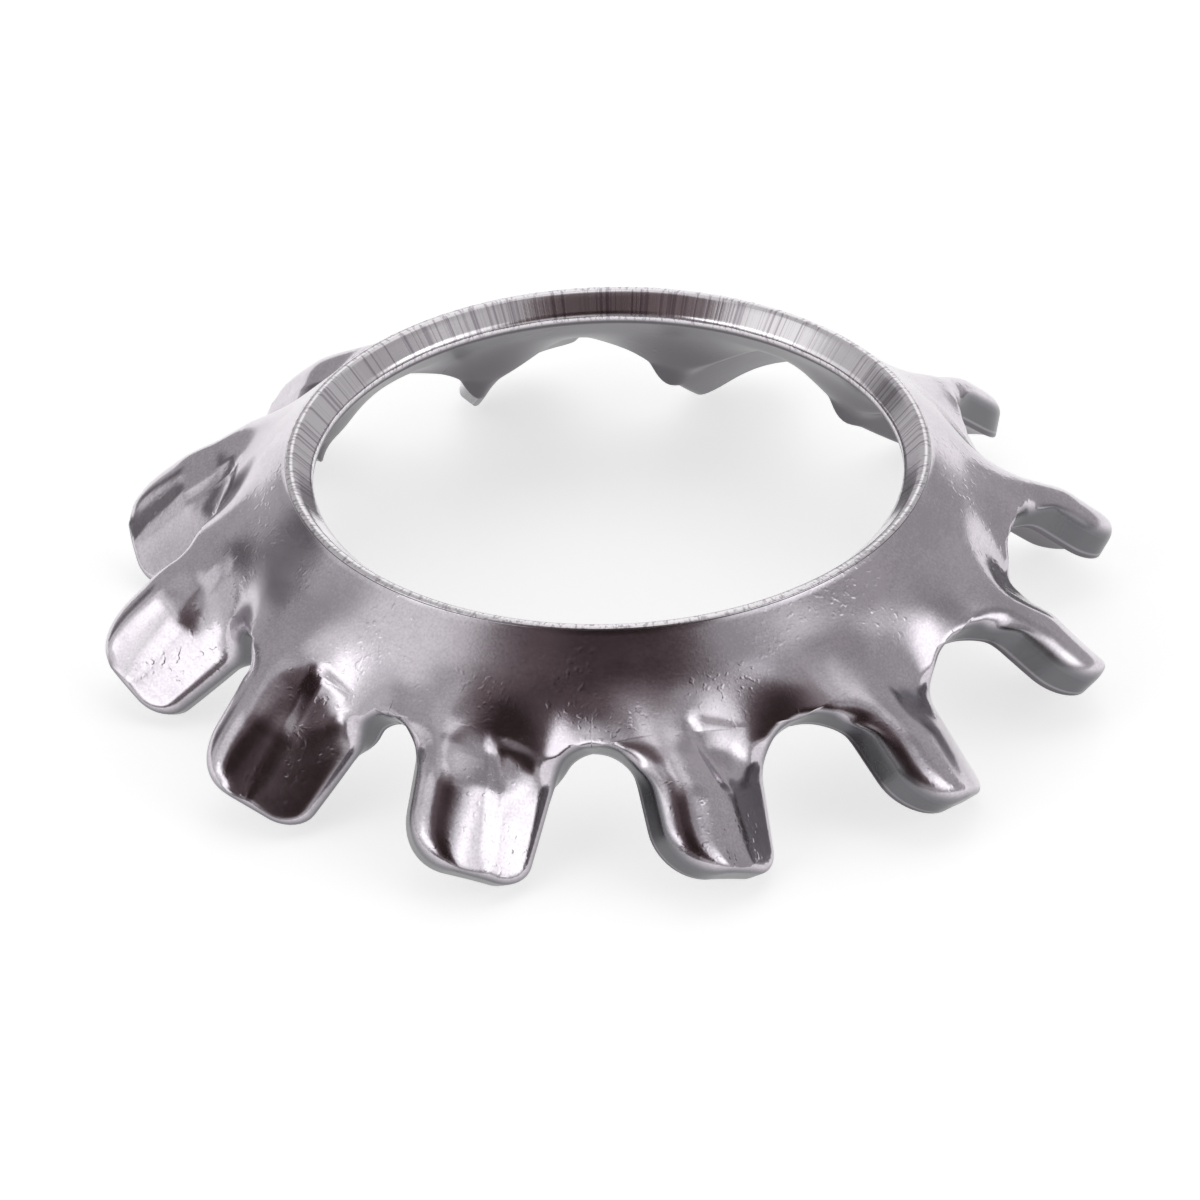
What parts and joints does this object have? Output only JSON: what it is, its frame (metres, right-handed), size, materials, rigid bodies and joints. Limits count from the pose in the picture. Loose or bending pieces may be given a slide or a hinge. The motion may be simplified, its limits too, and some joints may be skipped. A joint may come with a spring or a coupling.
{
  "type": "toothed lock washer",
  "caption": "Countersunk lock washer pressed from one spring steel sheet: a coned ring around a round bore, with twisted teeth along its outer edge.",
  "frame": {"origin": "centre of the circle on which the tips of the teeth stand, on the washer's axis", "axes": "+Z along the washer's axis towards the small end of its cone; one tooth lies 15 degrees from +X towards +Y and the others follow every 30 degrees"},
  "size_m": [0.011, 0.011, 0.0023],
  "materials": {
    "washer": "bright plated spring steel, smooth and glossy with fine scratches"
  },
  "bodies": {
    "root": {"washer": "washer"}
  },
  "joints": []
}
